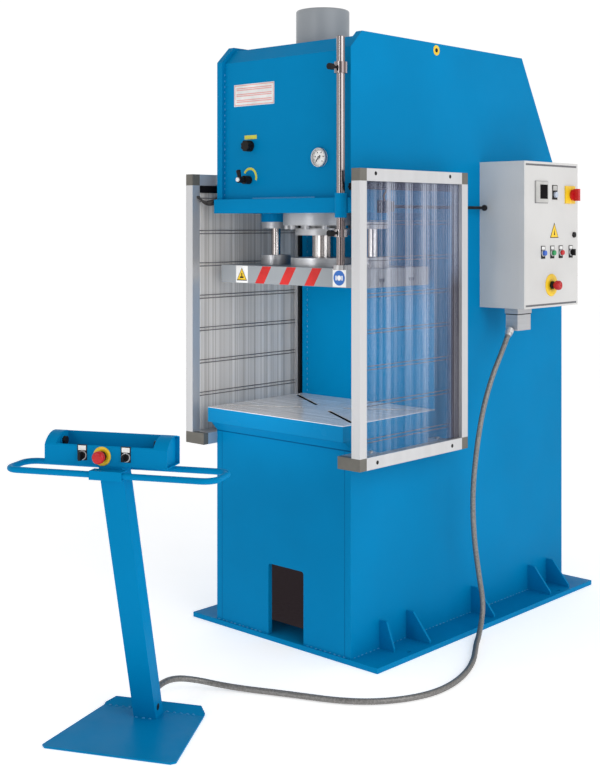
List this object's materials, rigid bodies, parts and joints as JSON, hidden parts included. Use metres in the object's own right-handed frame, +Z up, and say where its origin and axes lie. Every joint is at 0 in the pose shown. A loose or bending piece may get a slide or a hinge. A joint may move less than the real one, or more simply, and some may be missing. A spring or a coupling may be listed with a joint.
{
  "type": "hydraulic press",
  "caption": "C-frame hydraulic press with side guards, an electric cabinet and a free-standing two-hand console joined by a conduit.",
  "frame": {"origin": "where the ram's axis meets the floor, on the base plate's underside", "axes": "+Z up, the front of the press towards -Y, the cabinet on the +X side"},
  "size_m": [1.2856, 2.8182, 2.521],
  "materials": {
    "blue_paint": "satin",
    "grey_paint": "satin",
    "machined_steel": "ground",
    "chrome": "polished",
    "aluminium_profile": "satin anodised",
    "corner_plastic": "matte",
    "clear_sheet": "ribbed clear plastic",
    "cabinet_paint": "fine texture",
    "black_plastic": "satin",
    "red_plastic": "satin",
    "blue_plastic": "satin",
    "green_plastic": "satin",
    "conduit_grey": "ribbed",
    "gauge_white": "matte"
  },
  "bodies": {
    "press": {"base_gussets": "blue_paint", "base_plate": "blue_paint", "bed_ledge": "blue_paint", "cabinet_box": "cabinet_paint", "conduit": "conduit_grey", "conduit_gland": "aluminium_profile", "connector_housing": "aluminium_profile", "console_hood": "blue_paint", "cylinder_barrel": "grey_paint", "cylinder_flange": "machined_steel", "flange_bolts": "machined_steel", "guard_brackets": "aluminium_profile", "guard_corners": "corner_plastic", "guard_profiles": "aluminium_profile", "guard_sheets": "clear_sheet", "guide_bushes": "machined_steel", "guide_housings": "blue_paint", "hand_rail": "blue_paint", "head_base_plate": "blue_paint", "head_cover": "blue_paint", "lever_bracket": "black_plastic", "lower_front_plate": "blue_paint", "pedestal_base": "blue_paint", "pedestal_post": "blue_paint", "pressure_gauge": "gauge_white", "rear_cover": "blue_paint", "rod_gland": "machined_steel", "side_plate_left": "blue_paint", "side_plate_right": "blue_paint", "stop_rod_bushing": "blue_paint", "table_plate": "machined_steel", "throat_plate": "blue_paint"},
    "ram": {"ram": "chrome", "ram_flange": "machined_steel", "platen": "grey_paint", "guide_rods": "chrome", "guide_collars": "machined_steel", "stop_rod": "chrome", "stop_rod_lug": "machined_steel"},
    "upper_stop": {"stop_collar_upper": "chrome"},
    "lower_stop": {"stop_collar_lower": "chrome"},
    "upper_clamp": {"clamp_knob_upper": "black_plastic"},
    "lower_clamp": {"clamp_knob_lower": "black_plastic"},
    "hand_lever": {"hand_lever": "black_plastic"},
    "needle": {"gauge_needle": "black_plastic"},
    "pressure_knob": {"pressure_knob": "black_plastic"},
    "speed_lever": {"speed_lever": "black_plastic"},
    "door": {"cabinet_door": "cabinet_paint"},
    "main_switch": {"main_switch_knob": "red_plastic"},
    "door_estop": {"door_estop_button": "red_plastic"},
    "door_blue": {"button_blue": "blue_plastic"},
    "door_green": {"button_green": "green_plastic"},
    "door_red": {"button_red": "red_plastic"},
    "door_selector": {"door_selector": "black_plastic"},
    "door_lock": {"door_lock": "black_plastic"},
    "console_selector": {"console_selector": "black_plastic"},
    "console_key": {"console_key": "black_plastic"},
    "console_estop": {"console_estop_button": "red_plastic"},
    "hand_left": {"hand_button_left": "black_plastic"},
    "hand_right": {"hand_button_right": "black_plastic"}
  },
  "joints": [
    {"name": "ram_stroke", "type": "slide", "parent": "press", "child": "ram", "axis": [0, 0, -1], "range_m": [0, 0.4]},
    {"name": "upper_stop_slide", "type": "slide", "parent": "ram", "child": "upper_stop", "axis": [0, 0, 1], "range_m": [-0.03, 0.09]},
    {"name": "lower_stop_slide", "type": "slide", "parent": "ram", "child": "lower_stop", "axis": [0, 0, 1], "range_m": [-0.09, 0.03]},
    {"name": "upper_clamp_turn", "type": "hinge", "parent": "upper_stop", "child": "upper_clamp", "pos_m": [0.345, -0.2875, 2.236], "axis": [0, 1, 0], "range_deg": [0, 170]},
    {"name": "lower_clamp_turn", "type": "hinge", "parent": "lower_stop", "child": "lower_clamp", "pos_m": [0.345, -0.2875, 1.618], "axis": [0, 1, 0], "range_deg": [0, 170]},
    {"name": "hand_lever_swing", "type": "hinge", "parent": "press", "child": "hand_lever", "pos_m": [0.4, -0.072, 1.719], "axis": [1, 0, 0], "range_deg": [-12, 12]},
    {"name": "needle_turn", "type": "hinge", "parent": "press", "child": "needle", "pos_m": [0.196, -0.25, 1.908], "axis": [0, 1, 0], "range_deg": [0, 270]},
    {"name": "pressure_knob_turn", "type": "hinge", "parent": "press", "child": "pressure_knob", "pos_m": [-0.184, -0.25, 1.967], "axis": [0, 1, 0], "range_deg": [-150, 150]},
    {"name": "speed_lever_turn", "type": "hinge", "parent": "press", "child": "speed_lever", "pos_m": [-0.19, -0.25, 1.83], "axis": [0, 1, 0], "range_deg": [0, 90]},
    {"name": "door_swing", "type": "hinge", "parent": "press", "child": "door", "pos_m": [0.56165, 0.5949, 1.6], "axis": [0, 0, -1], "range_deg": [0, 110]},
    {"name": "main_switch_turn", "type": "hinge", "parent": "door", "child": "main_switch", "pos_m": [0.5828, 0.968, 1.777], "axis": [1, 0, 0], "range_deg": [0, 90]},
    {"name": "door_estop_push", "type": "slide", "parent": "door", "child": "door_estop", "axis": [-1, 0, 0], "range_m": [0, 0.005], "stiffness_N_per_m": 800},
    {"name": "door_blue_push", "type": "slide", "parent": "door", "child": "door_blue", "axis": [-1, 0, 0], "range_m": [0, 0.004], "stiffness_N_per_m": 600},
    {"name": "door_green_push", "type": "slide", "parent": "door", "child": "door_green", "axis": [-1, 0, 0], "range_m": [0, 0.004], "stiffness_N_per_m": 600},
    {"name": "door_red_push", "type": "slide", "parent": "door", "child": "door_red", "axis": [-1, 0, 0], "range_m": [0, 0.004], "stiffness_N_per_m": 600},
    {"name": "door_selector_turn", "type": "hinge", "parent": "door", "child": "door_selector", "pos_m": [0.5828, 0.962, 1.529], "axis": [1, 0, 0], "range_deg": [-45, 45]},
    {"name": "door_lock_turn", "type": "hinge", "parent": "door", "child": "door_lock", "pos_m": [0.5828, 0.988, 1.604], "axis": [1, 0, 0], "range_deg": [0, 90]},
    {"name": "console_selector_turn", "type": "hinge", "parent": "press", "child": "console_selector", "pos_m": [0.22886, -1.39659, 0.926], "axis": [0.4415, -0.8973, 0], "range_deg": [-45, 45]},
    {"name": "console_key_turn", "type": "hinge", "parent": "press", "child": "console_key", "pos_m": [0.36255, -1.3308, 0.926], "axis": [0.4415, -0.8973, 0], "range_deg": [0, 90]},
    {"name": "console_estop_push", "type": "slide", "parent": "press", "child": "console_estop", "axis": [-0.4415, 0.8973, 0], "range_m": [0, 0.005], "stiffness_N_per_m": 800},
    {"name": "hand_left_push", "type": "slide", "parent": "press", "child": "hand_left", "axis": [-0.8973, -0.4415, 0], "range_m": [0, 0.004], "stiffness_N_per_m": 600},
    {"name": "hand_right_push", "type": "slide", "parent": "press", "child": "hand_right", "axis": [0.8973, 0.4415, 0], "range_m": [0, 0.004], "stiffness_N_per_m": 600}
  ]
}
